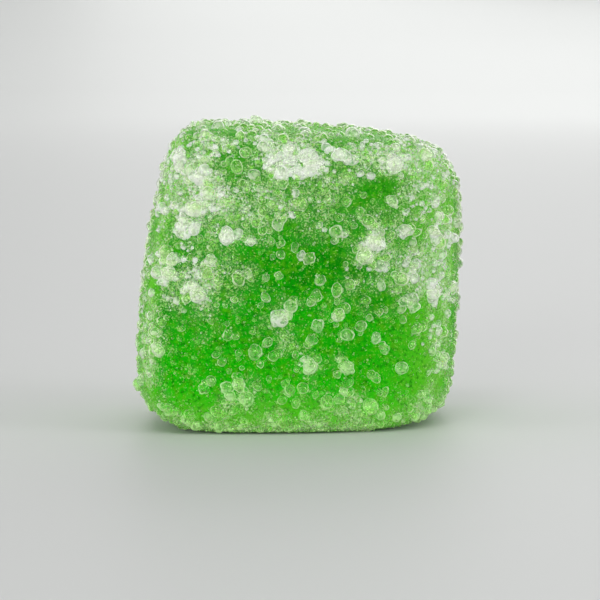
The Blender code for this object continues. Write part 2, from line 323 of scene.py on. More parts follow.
@dataclass
class CoarseGrainRule:
    """Where the largest grains sit: named ones on the front, the rest by a seeded rule."""

    # Grains seen on the front face: across, up, size, and how milky
    front: tuple = (
        (3.4, 18.4, 0.97, 0.75), (-7.3, 17.2, 0.84, 0.75), (-5.9, 15.9, 0.9, 0.8),
        (-5.3, 15.0, 0.9, 0.55), (-6.1, 14.1, 0.97, 0.6), (-4.2, 12.3, 1.1, 0.75),
        (2.5, 12.6, 0.9, 0.2), (4.8, 11.9, 1.1, 0.75), (4.2, 11.1, 0.97, 0.45),
        (6.5, 9.6, 0.97, 0.25), (8.5, 8.6, 1.03, 0.8), (-6.0, 8.7, 1.03, 0.75),
        (-1.0, 7.3, 1.16, 0.9), (-0.3, 8.0, 0.84, 0.2), (1.4, 6.8, 0.87, 0.25),
        (2.7, 7.5, 0.84, 0.2), (3.2, 6.2, 0.84, 0.2), (0.9, 4.3, 0.97, 0.6),
        (3.1, 4.2, 0.9, 0.4), (6.5, 4.0, 0.9, 0.45), (-4.2, 3.0, 0.84, 0.4),
        (-3.0, 2.3, 0.97, 0.5), (4.6, 1.7, 0.97, 0.35), (-4.9, 18.9, 0.84, 0.75),
        (-9.8, 2.9, 0.9, 0.4), (10.2, 11.4, 0.75, 0.3),
    )
    count: int = 226
    seed: int = 41
    small: float = 0.72
    large: float = 1.08
    size_fall: float = 0.6
    front_seat: float = 0.12
    other_seat: float = -0.2
    uneven: float = 0.1
    spacing: float = 1.25
    base_clearance: float = 0.12
    least_up_normal: float = -0.6
    pair_chance: float = 0.16
    pair_spacing: float = 0.78
    pair_nearest: float = 0.7
    pair_farthest: float = 1.1
    least_step: float = 0.1

    def prepare(self, mesh: bpy.types.Mesh, half_depth: float) -> None:
        """Read the block's triangles and start the seeded draw.

        Args:
            mesh: The block's mesh at the solid's own level of smoothing.
            half_depth: Half the block's depth in millimetres.
        """
        form = bmesh.new()
        form.from_mesh(mesh)
        bmesh.ops.triangulate(form, faces=form.faces[:])
        self.tree = BVHTree.FromBMesh(form)
        self.triangles = [[corner.co.copy() for corner in face.verts] for face in form.faces]
        self.normals = [face.normal.copy() for face in form.faces]
        self.areas = [face.calc_area() for face in form.faces]
        form.free()
        self.half_depth = half_depth
        self.draw = random.Random(self.seed)
        self.grains: list[tuple[Vector, float]] = []

    @staticmethod
    def seat(point: Vector, normal: Vector, size: float, share: float) -> Vector:
        """Return a grain's middle, out of the jelly by a share of its radius."""
        return point + normal * (share * size / 2.0)

    def clear_of_base(self, middle: Vector, size: float) -> bool:
        """Tell whether a grain stays above the surface that the block rests on."""
        return middle.z - size / 2.0 * (1.0 + self.uneven) > self.base_clearance * MM

    def far_enough(self, middle: Vector, size: float, partner: int = -1) -> bool:
        """Tell whether a grain keeps its clearance to all others but its partner.

        Args:
            middle: The grain's middle in metres.
            size: The grain's size in metres.
            partner: Index of the grain that it may lean against, or -1 for none.

        Returns:
            Whether it keeps clear.
        """
        for index, (other, other_size) in enumerate(self.grains):
            if index == partner:
                continue
            if (other - middle).length < self.spacing * (size + other_size) / 2.0:
                return False
        return True

    def add_front_grains(self) -> None:
        """Seat the named grains of the front face, straight in from the front."""
        for across, up, size, _ in self.front:
            point, normal = front_spot(self.tree, across, up, 2.0 * self.half_depth)
            middle = self.seat(point, normal, size * MM, self.front_seat)
            self.grains.append((middle, size * MM))

    def random_spot(self) -> tuple[Vector, Vector]:
        """Draw an even random place on the block.

        Returns:
            The place in metres, and its normal.
        """
        index = self.draw.choices(range(len(self.triangles)), weights=self.areas)[0]
        first, second, third = self.triangles[index]
        along = math.sqrt(self.draw.random())
        turn = self.draw.random()
        point = first * (1.0 - along) + second * (along * (1.0 - turn)) + third * (along * turn)
        return point, self.normals[index]

    def add_partner(self, index: int) -> None:
        """Let a second grain lean against the one given, as grains clump in pairs.

        Args:
            index: Index of the first grain.
        """
        middle, size = self.grains[index]
        partner_size = self.small * MM
        step = Vector([self.draw.uniform(-1.0, 1.0) for _ in range(3)])
        if step.length < self.least_step:
            return
        reach = self.pair_spacing * (size + partner_size) / 2.0
        near = self.tree.find_nearest(middle + step.normalized() * reach)
        seat = self.seat(near[0], near[1], partner_size, self.other_seat)
        gap = (seat - middle).length
        if not self.pair_nearest * reach < gap < self.pair_farthest * reach:
            return
        if self.clear_of_base(seat, partner_size) and self.far_enough(
            seat, partner_size, partner=index
        ):
            self.grains.append((seat, partner_size))

    def scatter(self) -> list[tuple[Vector, float, Matrix]]:
        """Seat all the largest grains in the order of the solid.

        Returns:
            Middle, size and turned stretch of each grain, in metres.
        """
        self.add_front_grains()
        while len(self.grains) < self.count:
            done = len(self.grains) / self.count
            size = blend(self.large, self.small, done ** self.size_fall) * MM
            point, normal = self.random_spot()
            middle = self.seat(point, normal, size, self.other_seat)
            if normal.z < self.least_up_normal or not self.clear_of_base(middle, size):
                continue
            if not self.far_enough(middle, size):
                continue
            self.grains.append((middle, size))
            if self.draw.random() < self.pair_chance:
                self.add_partner(len(self.grains) - 1)
        placed = []
        for middle, size in self.grains:
            low, high = 1.0 - self.uneven, 1.0 + self.uneven
            stretch = [self.draw.uniform(low, high) for _ in range(3)]
            turn = Euler([self.draw.uniform(0.0, math.tau) for _ in range(3)]).to_matrix()
            placed.append((middle, size, turn @ Matrix.Diagonal(stretch)))
        return placed


@dataclass
class FrostMap:
    """How thickly the sugar lies: more on edges, flanks, foot and higher up, and in patches."""

    seed: int = 7
    base: float = 0.1
    edge_gain: float = 0.35
    edge_range: tuple = (0.02, 0.22)
    flank_gain: float = 0.24
    top_gain: float = -0.13
    side_range: tuple = (0.5, 0.9)
    rise_gain: float = 0.3
    rise_range: tuple = (5.0, 18.0)
    foot_gain: float = 0.3
    foot_range: tuple = (0.4, 3.2)
    # Noise: its gain, the size of its features, and its falloff, step and octaves
    cloud_gain: float = 0.45
    cloud_size: float = 2.6
    cloud_kind: tuple = (0.8, 2.1, 3)
    tuft_gain: float = 0.55
    tuft_size: float = 0.95
    tuft_kind: tuple = (0.9, 2.1, 2)
    seed_shift: tuple = (3.1, 1.7, 0.9)
    front_range: tuple = (0.2, 0.7)
    # Patches on the front face: across, up, reach across, reach up, gain
    patches: tuple = (
        (0.2, 16.8, 2.0, 1.0, 0.9), (-1.5, 14.2, 2.8, 1.4, 0.25), (6.0, 17.0, 2.0, 1.1, 0.45),
        (-5.6, 15.5, 1.3, 1.3, 0.5), (-6.3, 13.2, 1.4, 1.4, 0.45), (-3.6, 12.3, 1.5, 0.8, 0.45),
        (-5.3, 10.8, 0.9, 0.9, 0.3), (-6.4, 9.3, 1.3, 1.2, 0.5), (-8.6, 5.8, 1.1, 2.0, 0.5),
        (4.8, 11.5, 1.3, 1.1, 0.45), (8.6, 11.5, 0.9, 2.4, 0.25), (7.8, 8.5, 1.4, 1.0, 0.2),
        (8.7, 4.6, 0.7, 1.6, 0.3), (-0.9, 7.6, 1.2, 0.9, 0.3), (0.8, 4.4, 1.0, 0.8, 0.35),
        (-3.6, 2.7, 1.5, 0.8, 0.25), (0.6, 9.7, 2.7, 2.0, -0.6), (4.8, 9.7, 1.3, 1.1, 0.2),
        (3.2, 2.0, 2.2, 1.1, 0.35), (5.4, 14.6, 1.9, 1.2, -0.25), (5.8, 5.0, 2.8, 2.7, -0.7),
        (-4.6, 5.3, 2.6, 1.9, -0.4), (-7.8, 11.0, 0.9, 1.5, 0.3), (-7.4, 14.6, 0.9, 2.2, 0.25),
        (-4.0, 17.6, 1.6, 1.0, -0.2),
    )
    # Where the block rounds off to its sides, and where light shines through its foot, painted
    # into the jelly's colour as a glow
    round_range: tuple = (0.3, 0.8)
    flat_range: tuple = (0.8, 0.99)
    flat_loss: float = 0.7
    thin_foot: tuple = (0.5, 3.2)

    @staticmethod
    def pattern(place: np.ndarray, size: float, shift: Vector, kind: tuple) -> np.ndarray:
        """Return the noise of one kind at each place, moved by a shift."""
        return np.array([noise.fractal(Vector(p) / size + shift, *kind) for p in place])

    def amount(self, points: np.ndarray, normals: np.ndarray) -> np.ndarray:
        """Work out the share of frost at each place.

        Args:
            points: Places on the block in metres, one per row.
            normals: Unit normals at those places.

        Returns:
            Share of frost from 0 to 1 at each place.
        """
        place = points / MM
        edge = smooth_step(*self.edge_range, 1.0 - np.abs(normals).max(axis=1))
        flank = smooth_step(*self.side_range, np.abs(normals[:, 0]))
        top = smooth_step(*self.side_range, normals[:, 2])
        rise = smooth_step(*self.rise_range, place[:, 2])
        foot = 1.0 - smooth_step(*self.foot_range, place[:, 2])
        shift = Vector([self.seed * share for share in self.seed_shift])
        clouds = self.pattern(place, self.cloud_size, shift, self.cloud_kind)
        tufts = self.pattern(place, self.tuft_size, -shift, self.tuft_kind)
        amount = self.base + self.edge_gain * edge + self.rise_gain * rise
        amount = amount + self.flank_gain * flank + self.top_gain * top + self.foot_gain * foot
        amount = amount + self.cloud_gain * clouds + self.tuft_gain * tufts
        front = smooth_step(*self.front_range, -normals[:, 1])
        for across, up, reach_x, reach_z, gain in self.patches:
            near = ((place[:, 0] - across) / reach_x) ** 2 + ((place[:, 2] - up) / reach_z) ** 2
            amount = amount + gain * np.exp(-near) * front
        return np.clip(amount, 0.0, 1.0)

    def roundness(self, normals: np.ndarray) -> np.ndarray:
        """Work out where the block rounds off to its sides.

        Args:
            normals: Unit normals of places on the block.

        Returns:
            Share from 0 on the front and the back to 1 where they turn to the sides.
        """
        sideways = np.abs(normals[:, 0])
        flat = smooth_step(*self.flat_range, sideways)
        return smooth_step(*self.round_range, sideways) * (1.0 - self.flat_loss * flat)

    def thinness(self, points: np.ndarray, normals: np.ndarray) -> np.ndarray:
        """Work out how much light shines through the block's thin outer parts, for the glow
        painted into the jelly's colour.

        Args:
            points: Places on the block in metres, one per row.
            normals: Unit normals at those places.

        Returns:
            Share from 0 in the middle to 1 at the rounded sides and the foot.
        """
        foot = 1.0 - smooth_step(*self.thin_foot, points[:, 2] / MM)
        return np.maximum(self.roundness(normals), foot)


class Surface:
    """The jelly's triangles, ready for sugar to be scattered on them."""

    def __init__(self, mesh: bpy.types.Mesh, frost: FrostMap) -> None:
        """Read the mesh and work out the frost at each triangle.

        Args:
            mesh: The jelly's finished mesh.
            frost: The rule for the frost.
        """
        mesh.calc_loop_triangles()
        count = len(mesh.vertices)
        points = np.zeros(count * 3)
        mesh.vertices.foreach_get("co", points)
        normals = np.zeros(count * 3)
        mesh.vertices.foreach_get("normal", normals)
        corners = np.zeros(len(mesh.loop_triangles) * 3, dtype=np.int64)
        mesh.loop_triangles.foreach_get("vertices", corners)
        self.points = points.reshape(-1, 3)
        self.normals = normals.reshape(-1, 3)
        self.frost = frost.amount(self.points, self.normals)
        self.glow = frost.thinness(self.points, self.normals)
        self.corners = corners.reshape(-1, 3)
        first, second, third = (self.points[self.corners[:, i]] for i in range(3))
        self.areas = np.linalg.norm(np.cross(second - first, third - first), axis=1) / 2.0
        self.face_frost = self.frost[self.corners].mean(axis=1)
        self.face_round = frost.roundness(self.normals)[self.corners].mean(axis=1)

    def tree(self) -> BVHTree:
        """Return the surface as a search tree."""
        return BVHTree.FromPolygons(self.points.tolist(), self.corners.tolist())

    def spots(
        self, rng: np.random.Generator, count: int, least: float, power: float, fade: float
    ) -> tuple[np.ndarray, np.ndarray, np.ndarray]:
        """Draw random places, more of them where there is more frost.

        Args:
            rng: The seeded draw.
            count: How many places.
            least: Weight where there is no frost. It is 1 where there is full frost.
            power: How sharply the weight follows the frost.
            fade: Share of the weight that is lost at the rounded sides.

        Returns:
            Points, unit normals and frost of the places.
        """
        weight = self.areas * (least + (1.0 - least) * self.face_frost ** power)
        weight = weight * (1.0 - fade * self.face_round)
        reach = np.cumsum(weight)
        picked = np.searchsorted(reach, rng.random(count) * reach[-1])
        picked = np.minimum(picked, len(self.areas) - 1)
        along = np.sqrt(rng.random(count))
        turn = rng.random(count)
        shares = np.stack([1.0 - along, along * (1.0 - turn), along * turn], axis=1)
        corners = self.corners[picked]
        points = (self.points[corners] * shares[:, :, None]).sum(axis=1)
        normals = (self.normals[corners] * shares[:, :, None]).sum(axis=1)
        normals /= np.linalg.norm(normals, axis=1)[:, None]
        frost = (self.frost[corners] * shares).sum(axis=1)
        return points, normals, frost


class GrainBlank:
    """Corners and faces of the shape that a grain is made from."""

    ball_detail = {Blank.BALL_20: 1, Blank.BALL_80: 2, Blank.BALL_320: 3}
    crystal_sides = 4
    crystal_height = 1.1
    merge_reach = 1e-4

    def __init__(self, blank: Blank) -> None:
        """Make the shape with Blender's own operators and read it.

        Args:
            blank: Which shape.
        """
        form = bmesh.new()
        if blank is Blank.DIAMOND:
            bmesh.ops.create_cone(
                form, cap_ends=False, segments=self.crystal_sides,
                radius1=1.0, radius2=0.0, depth=self.crystal_height,
                matrix=Matrix.Translation((0.0, 0.0, self.crystal_height / 2.0)),
            )
            upper = form.verts[:] + form.edges[:] + form.faces[:]
            bmesh.ops.mirror(form, geom=upper, axis="Z", merge_dist=self.merge_reach)
            bmesh.ops.remove_doubles(form, verts=form.verts[:], dist=self.merge_reach)
            bmesh.ops.recalc_face_normals(form, faces=form.faces[:])
        else:
            bmesh.ops.create_icosphere(
                form, subdivisions=self.ball_detail[blank], radius=1.0
            )
        bmesh.ops.triangulate(form, faces=form.faces[:])
        form.verts.index_update()
        self.corners = np.array([corner.co[:] for corner in form.verts])
        self.faces = np.array([[corner.index for corner in face.verts] for face in form.faces])
        form.free()


def random_turns(rng: np.random.Generator, count: int) -> np.ndarray:
    """Draw even random turns.

    Args:
        rng: The seeded draw.
        count: How many.

    Returns:
        One 3 by 3 matrix for each.
    """
    quats = rng.normal(size=(count, 4))
    quats /= np.linalg.norm(quats, axis=1)[:, None]
    w, x, y, z = quats.T
    rows = [
        [1 - 2 * (y * y + z * z), 2 * (x * y - z * w), 2 * (x * z + y * w)],
        [2 * (x * y + z * w), 1 - 2 * (x * x + z * z), 2 * (y * z - x * w)],
        [2 * (x * z - y * w), 2 * (y * z + x * w), 1 - 2 * (x * x + y * y)],
    ]
    return np.moveaxis(np.array(rows), 2, 0)


@dataclass
class Grains:
    """Grains of one kind, made as one mesh."""

    name: str
    blank: Blank
    facing: Facing
    lumps: float = 0.0
    lump_waves: float = 4.0
    wave_scales: tuple = (1.0, 1.9)
    wave_spread: float = 1.7

    def mesh(
        self, rng: np.random.Generator, middles: np.ndarray, radii: np.ndarray,
        frames: np.ndarray, milk: np.ndarray,
    ) -> bpy.types.Mesh:
        """Join all grains of this kind into one mesh.

        Args:
            rng: The seeded draw for the lumps.
            middles: Middle of each grain in metres.
            radii: Radius of each grain in metres.
            frames: Turn and stretch of each grain as 3 by 3 matrices.
            milk: How milky each grain is, from 0 to 1.

        Returns:
            The joined mesh.
        """
        blank = GrainBlank(self.blank)
        count, per = len(middles), len(blank.corners)
        shape = np.broadcast_to(blank.corners, (count, per, 3)).copy()
        if self.lumps:
            swell = np.zeros((count, per))
            for scale in self.wave_scales:
                waves = rng.normal(size=(count, 3)) * self.lump_waves * scale / self.wave_spread
                phase = rng.random(count) * math.tau
                swell += np.sin(shape @ waves[:, :, None] + phase[:, None, None])[..., 0] / scale
            shape *= (1.0 + self.lumps * swell)[..., None]
        shape = np.einsum("gij,gvj->gvi", frames, shape) * radii[:, None, None]
        shape += middles[:, None, :]
        faces = blank.faces[None] + (np.arange(count) * per)[:, None, None]

        mesh = bpy.data.meshes.new(self.name)
        mesh.vertices.add(count * per)
        mesh.vertices.foreach_set("co", shape.astype(np.float32).ravel())
        mesh.loops.add(faces.size)
        mesh.loops.foreach_set("vertex_index", faces.astype(np.int32).ravel())
        mesh.polygons.add(faces.size // 3)
        mesh.polygons.foreach_set("loop_start", np.arange(0, faces.size, 3, dtype=np.int32))
        mesh.update(calc_edges=True)
        mesh.validate()
        if self.facing is Facing.SOFT:
            mesh.shade_smooth()
        else:
            mesh.shade_flat()
        layer = mesh.attributes.new("milk", "FLOAT", "POINT")
        layer.data.foreach_set("value", np.repeat(milk, per).astype(np.float32))
        return mesh


@dataclass
class ScatterKind:
    """One size of sugar grain scattered over the jelly."""

    grains: Grains
    count: int
    seed: int
    small: float
    large: float
    size_power: float
    thin_weight: float
    power: float
    fade: float
    seat: float
    uneven: float
    milk_low: float
    milk_high: float
    milk_scatter: float
    most_milk: float = 1.0
    milk_range: tuple = (0.3, 0.7)
    spare: int = 2
    base_clearance: float = 0.02

    def build(self, surface: Surface) -> bpy.types.Mesh:
        """Scatter the grains over the jelly.

        Args:
            surface: The jelly's triangles with their frost.

        Returns:
            One mesh with all grains of this kind.
        """
        rng = np.random.default_rng(self.seed)
        points, normals, frost = surface.spots(
            rng, self.count * self.spare, self.thin_weight, self.power, self.fade
        )
        share = rng.random(len(points)) ** self.size_power
        radii = (self.small + (self.large - self.small) * share) * MM / 2.0
        middles = points + normals * (self.seat * radii)[:, None]
        kept = middles[:, 2] > radii * (1.0 + self.uneven) + self.base_clearance * MM
        kept = np.flatnonzero(kept)[: self.count]
        middles, radii, frost = middles[kept], radii[kept], frost[kept]
        stretch = rng.uniform(1.0 - self.uneven, 1.0 + self.uneven, (len(kept), 3))
        frames = random_turns(rng, len(kept)) * stretch[:, None, :]
        milk = self.milk_low + (self.milk_high - self.milk_low) * frost
        milk = milk + rng.normal(scale=self.milk_scatter, size=len(kept))
        milk = smooth_step(*self.milk_range, milk) * self.most_milk
        return self.grains.mesh(rng, middles, radii, frames, milk)


@dataclass(frozen=True)
class Speckle:
    """A noise in a material: the size of its features in millimetres, detail and roughness."""

    size: float
    detail: float = 1.0
    rough: float = 0.5


@dataclass(frozen=True)
class Band:
    """Carries the values between low and high to those between start and end."""

    low: float
    high: float
    start: float = 0.0
    end: float = 1.0


class NodeBench:
    """Adds and joins shader nodes in one material."""

    # Sockets of a node that mixes colours: the two that go in, and the one that comes out
    first_colour, second_colour, mixed_colour = 6, 7, 2
    rim_blend = 0.5

    def __init__(self, name: str) -> None:
        """Start a material with its own shader.

        Args:
            name: Name of the material.
        """
        self.material = bpy.data.materials.new(name)
        self.material.use_nodes = True
        self.nodes = self.material.node_tree.nodes
        self.links = self.material.node_tree.links
        self.shader = self.nodes["Principled BSDF"]
        self.place = self.nodes.new("ShaderNodeTexCoord").outputs["Object"]

    def join(self, source: bpy.types.NodeSocket, target: bpy.types.NodeSocket) -> None:
        """Link an output to an input."""
        self.links.new(source, target)

    def feed(self, target: bpy.types.NodeSocket, value: object) -> None:
        """Give an input a link or a plain value.

        Args:
            target: The input.
            value: An output to link, or the value to set.
        """
        if isinstance(value, bpy.types.NodeSocket):
            self.join(value, target)
        else:
            target.default_value = value

    def dress(self, sockets: dict[str, object]) -> None:
        """Give the shader's own inputs their links or plain values, by their titles."""
        for title, value in sockets.items():
            self.feed(self.shader.inputs[title], value)

    def height(self) -> bpy.types.NodeSocket:
        """Read the height above the base.

        Returns:
            The height in metres.
        """
        node = self.nodes.new("ShaderNodeSeparateXYZ")
        self.join(self.place, node.inputs["Vector"])
        return node.outputs["Z"]

    def noise(self, speckle: Speckle) -> bpy.types.NodeSocket:
        """Make a noise that is fixed to the piece.

        Args:
            speckle: Size and detail of its features.

        Returns:
            Its value, most of it between 0.3 and 0.7.
        """
        node = self.nodes.new("ShaderNodeTexNoise")
        self.join(self.place, node.inputs["Vector"])
        node.inputs["Scale"].default_value = 1.0 / (speckle.size * MM)
        node.inputs["Detail"].default_value = speckle.detail
        node.inputs["Roughness"].default_value = speckle.rough
        return node.outputs["Fac"]

    def rim(self) -> bpy.types.NodeSocket:
        """Read how far a face is turned edge on.

        Returns:
            Share from 0 where a face is seen square on to 1 where it is seen edge on.
        """
        node = self.nodes.new("ShaderNodeLayerWeight")
        node.inputs["Blend"].default_value = self.rim_blend
        return node.outputs["Facing"]

    def towards(self, way: tuple) -> bpy.types.NodeSocket:
        """Read how far a face looks along a direction of the frame.

        Args:
            way: The direction.

        Returns:
            The value, from -1 to 1 for a direction of unit length.
        """
        geometry = self.nodes.new("ShaderNodeNewGeometry")
        product = self.nodes.new("ShaderNodeVectorMath")
        product.operation = "DOT_PRODUCT"
        self.join(geometry.outputs["Normal"], product.inputs[0])
        product.inputs[1].default_value = way
        return product.outputs["Value"]

    def attribute(self, name: str) -> bpy.types.NodeSocket:
        """Read a value that is kept on the mesh.

        Args:
            name: Name of the mesh's attribute.

        Returns:
            The value.
        """
        node = self.nodes.new("ShaderNodeAttribute")
        node.attribute_name = name
        return node.outputs["Fac"]

    def math(self, kind: str, first: object, second: object) -> bpy.types.NodeSocket:
        """Do one arithmetic step.

        Args:
            kind: Which step, by Blender's name for it.
            first: First output or number.
            second: Second output or number.

        Returns:
            The result.
        """
        node = self.nodes.new("ShaderNodeMath")
        node.operation = kind
        self.feed(node.inputs[0], first)
        self.feed(node.inputs[1], second)
        return node.outputs["Value"]

    def times(self, first: object, second: object) -> bpy.types.NodeSocket:
        """Return the product of two outputs or numbers."""
        return self.math("MULTIPLY", first, second)

    def spread(self, value: bpy.types.NodeSocket, band: Band) -> bpy.types.NodeSocket:
        """Carry a value from one range to another, and keep it inside that one.

        Args:
            value: The value.
            band: Both ranges.

        Returns:
            The carried value.
        """
        node = self.nodes.new("ShaderNodeMapRange")
        self.join(value, node.inputs["Value"])
        for title, number in (
            ("From Min", band.low), ("From Max", band.high),
            ("To Min", band.start), ("To Max", band.end),
        ):
            node.inputs[title].default_value = number
        return node.outputs["Result"]

    def mix(self, share: object, first: object, second: object) -> bpy.types.NodeSocket:
        """Blend two colours.

        Args:
            share: Share of the second one, from 0 to 1.
            first: First output or colour.
            second: Second output or colour.

        Returns:
            The blended colour.
        """
        node = self.nodes.new("ShaderNodeMix")
        node.data_type = "RGBA"
        self.feed(node.inputs["Factor"], share)
        self.feed(node.inputs[self.first_colour], first)
        self.feed(node.inputs[self.second_colour], second)
        return node.outputs[self.mixed_colour]

    def bump(self, speckle: Speckle, strength: float, depth: float) -> None:
        """Give the shader a fine relief.

        Args:
            speckle: The noise that it follows.
            strength: Its strength, from 0 to 1.
            depth: Its depth in millimetres.
        """
        node = self.nodes.new("ShaderNodeBump")
        node.inputs["Strength"].default_value = strength
        node.inputs["Distance"].default_value = depth * MM
        self.join(self.noise(speckle), node.inputs["Height"])
        self.join(node.outputs["Normal"], self.shader.inputs["Normal"])


@dataclass(frozen=True)
class JellyFinish:
    """Clear green jelly, mottled, with a painted glow low down and at its thin parts, and
    speckled paler, with painted shade in the gaps, where the finest sugar lies on it.
    """

    # The jelly's greens: in all, low down, high up, in blotches, in grains and at thin parts; low
    # down and at thin parts the paler greens are a painted glow of light shining through
    deep: Colour = (0.001, 0.24, 0.0003, 1.0)
    bright: Colour = (0.003, 0.4, 0.0005, 1.0)
    low: Colour = (0.012, 0.59, 0.0004, 1.0)
    high: Colour = (0.03, 0.33, 0.006, 1.0)
    mottle: Colour = (0.08, 0.38, 0.004, 1.0)
    shade: Colour = (0.002, 0.17, 0.0005, 1.0)
    sparkle: Colour = (0.1, 0.55, 0.006, 1.0)
    glow: Colour = (0.13, 0.56, 0.02, 1.0)
    glow_share: float = 0.8
    # The finest sugar: its haze, with a painted glow at thin parts, painted shade in the gaps in
    # it, and its specks
    mist: Colour = (0.15, 0.35, 0.09, 1.0)
    glow_mist: Colour = (0.21, 0.57, 0.075, 1.0)
    pit_shade: Colour = (0.015, 0.15, 0.004, 1.0)
    flecks: Colour = (0.3, 0.62, 0.1, 1.0)
    frost: Colour = (0.63, 0.83, 0.49, 1.0)
    frost_lift: float = 0.25
    # Noises, the widest first
    tone_noise: Speckle = Speckle(2.5, 4.0, 0.6)
    wide_noise: Speckle = Speckle(0.45, 4.0, 0.65)
    grain_noise: Speckle = Speckle(0.24, 2.0, 0.6)
    pit_noise: Speckle = Speckle(0.17)
    relief_noise: Speckle = Speckle(0.16, 3.0, 0.6)
    fine_noise: Speckle = Speckle(0.11)
    # How the noises and heights turn into shares
    tone_band: Band = Band(0.35, 0.65)
    painted_low_glow_band: Band = Band(0.0, 9.0 * MM, 1.0, 0.0)
    high_band: Band = Band(11.0 * MM, 16.0 * MM, 0.0, 0.8)
    mottle_band: Band = Band(0.48, 0.66, 0.0, 0.8)
    shade_band: Band = Band(0.46, 0.32, 0.0, 0.7)
    sparkle_band: Band = Band(0.56, 0.7, 0.0, 0.6)
    veil_band: Band = Band(0.3, 0.7, 0.4, 1.1)
    pit_shade_band: Band = Band(0.47, 0.37, 0.0, 0.65)
    speck_band: Band = Band(0.61, 0.72)
    speck_patch_band: Band = Band(0.35, 0.6, 0.35, 1.0)
    speck_glow_band: Band = Band(0.0, 1.0, 1.0, 0.6)
    rough_band: Band = Band(0.0, 1.0, 0.45, 0.6)
    bend: float = 1.42
    gloss: float = 0.02
    sheen: float = 0.25
    sheen_rough: float = 0.4
    sheen_tint: Colour = (0.75, 1.0, 0.6, 1.0)
    inner_glow: float = 0.45
    inner_reach: tuple = (0.2, 1.0, 0.08)
    inner_depth: float = 2.5
    relief_strength: float = 0.6
    relief_depth: float = 0.06

    def green(self, bench: NodeBench, wide: object, thin: object) -> bpy.types.NodeSocket:
        """Mix the jelly's greens, with a painted glow low down and at the thin parts.

        Args:
            bench: The material's nodes.
            wide: The noise of the blotches.
            thin: How thin the block is.

        Returns:
            The colour under the sugar.
        """
        tone = bench.spread(bench.noise(self.tone_noise), self.tone_band)
        green = bench.mix(tone, self.deep, self.bright)
        # Painted glow: a paler green low down, for light shining through the foot
        green = bench.mix(bench.spread(bench.height(), self.painted_low_glow_band), green, self.low)
        green = bench.mix(bench.spread(bench.height(), self.high_band), green, self.high)
        green = bench.mix(bench.spread(wide, self.mottle_band), green, self.mottle)
        # Painted glow at the thin parts, for light shining through them
        green = bench.mix(bench.times(thin, self.glow_share), green, self.glow)
        grain = bench.noise(self.grain_noise)
        green = bench.mix(bench.spread(grain, self.shade_band), green, self.shade)
        return bench.mix(bench.spread(grain, self.sparkle_band), green, self.sparkle)

    def make(self) -> bpy.types.Material:
        """Make the jelly's material.

        Returns:
            The material.
        """
        bench = NodeBench("green_jelly")
        wide = bench.noise(self.wide_noise)
        thin = bench.attribute("glow")
        frost = bench.attribute("frost")
        veil = bench.times(bench.spread(wide, self.veil_band), frost)
        # The haze turns to a painted glow at the thin parts
        haze = bench.mix(thin, self.mist, self.glow_mist)
        misty = bench.mix(veil, self.green(bench, wide, thin), haze)
        # Painted shade in the gaps between the finest sugar grains
        pit_shade_share = bench.spread(bench.noise(self.pit_noise), self.pit_shade_band)
        misty_and_pit_shade = bench.mix(bench.times(pit_shade_share, frost), misty, self.pit_shade)
        lift = bench.times(frost, self.frost_lift)
        lifted = bench.math("ADD", bench.noise(self.fine_noise), lift)
        specks = bench.spread(lifted, self.speck_band)
        specks = bench.times(specks, bench.spread(wide, self.speck_patch_band))
        specks = bench.times(specks, bench.spread(thin, self.speck_glow_band))
        fleck = bench.mix(frost, self.flecks, self.frost)
        bench.dress({
            "Base Color": bench.mix(specks, misty_and_pit_shade, fleck),
            "Roughness": bench.spread(specks, self.rough_band),
            "IOR": self.bend,
            "Specular IOR Level": self.gloss,
            "Sheen Weight": self.sheen,
            "Sheen Roughness": self.sheen_rough,
            "Sheen Tint": self.sheen_tint,
            "Subsurface Weight": self.inner_glow,
            "Subsurface Radius": self.inner_reach,
            "Subsurface Scale": self.inner_depth * MM,
        })
        bench.bump(self.relief_noise, self.relief_strength, self.relief_depth)
        return bench.material


